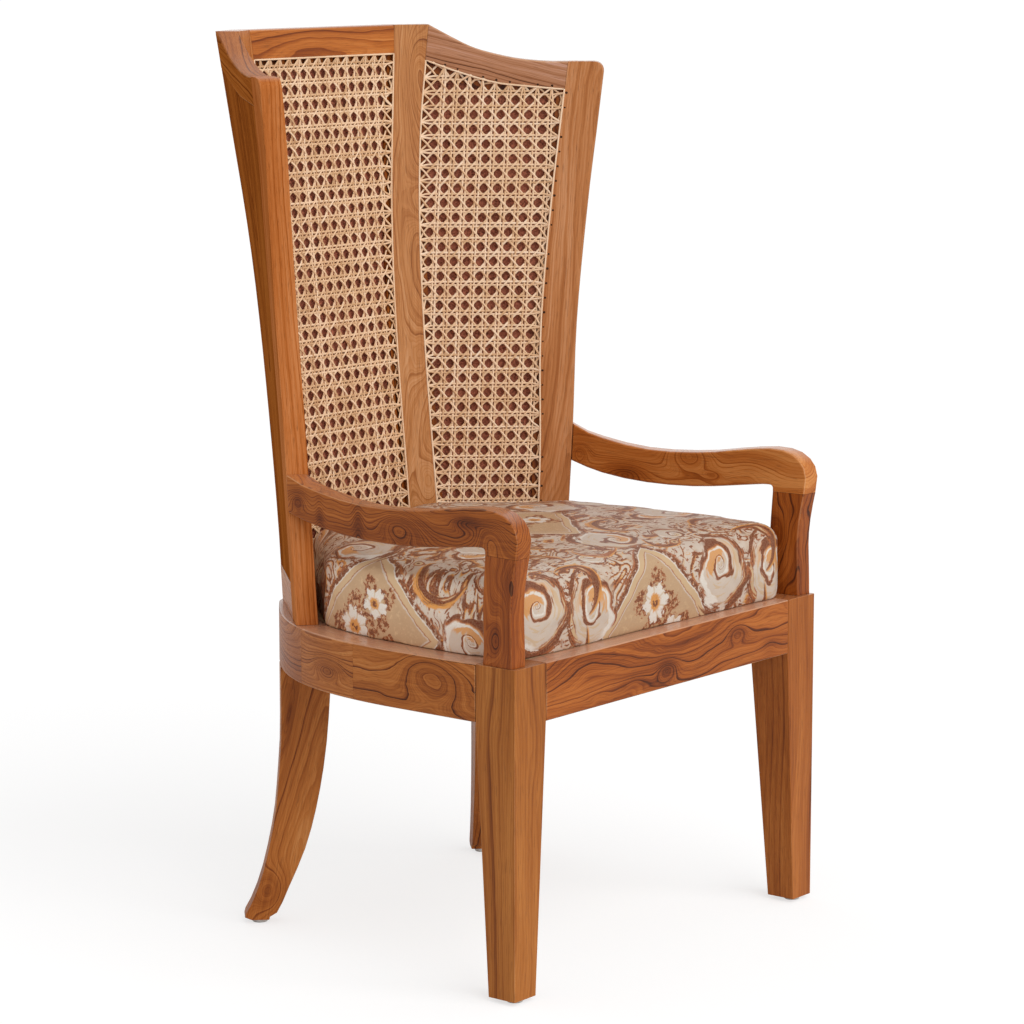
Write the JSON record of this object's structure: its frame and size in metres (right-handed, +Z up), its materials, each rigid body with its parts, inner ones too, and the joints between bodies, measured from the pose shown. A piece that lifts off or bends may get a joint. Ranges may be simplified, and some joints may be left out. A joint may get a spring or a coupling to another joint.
{
  "type": "winged cane-back armchair",
  "caption": "High-back wooden armchair with a folded caned back and wings, scrolled arms, sabre rear legs and a patterned box seat cushion.",
  "frame": {"origin": "centre of the bounding box in plan, at the floor under the glides", "axes": "+Z up, the seat's front faces -Y, +X to the sitter's left, which a viewer in front of the chair sees on the right; node names say right and left as that viewer sees them"},
  "size_m": [0.673, 0.596, 1.127],
  "materials": {
    "teak": "satin",
    "dark_wood": "satin",
    "ply": "matt",
    "cane": "satin",
    "cloth": "soft sheen",
    "nylon": "matt"
  },
  "bodies": {
    "root": {"front_leg_right": "teak", "front_leg_left": "teak", "rear_leg_right": "teak", "rear_leg_left": "teak", "front_glide_right": "nylon", "front_glide_left": "nylon", "rear_glide_right": "nylon", "rear_glide_left": "nylon", "front_rail": "teak", "side_rail_right": "teak", "side_rail_left": "teak", "side_bend_right": "teak", "side_bend_left": "teak", "rear_corner_right": "teak", "rear_corner_left": "teak", "rear_rail": "teak", "corner_block_right": "teak", "corner_block_left": "teak", "seat_board": "ply", "seat_cushion": "cloth", "arm_post_right": "teak", "arm_post_left": "teak", "arm_right": "teak", "arm_left": "teak", "back_post_right": "teak", "back_post_left": "teak", "back_top_rail": "teak", "back_bottom_rail": "teak", "wing_top_rail_right": "teak", "wing_top_rail_left": "teak", "wing_bottom_rail_right": "teak", "wing_bottom_rail_left": "teak", "wing_stile_right": "teak", "wing_stile_left": "teak", "back_cane": "cane", "wing_cane_right": "cane", "wing_cane_left": "cane", "back_cane_binding": "cane", "wing_cane_binding_right": "cane", "wing_cane_binding_left": "cane", "back_backing": "dark_wood", "wing_backing_right": "dark_wood", "wing_backing_left": "dark_wood"}
  },
  "joints": []
}
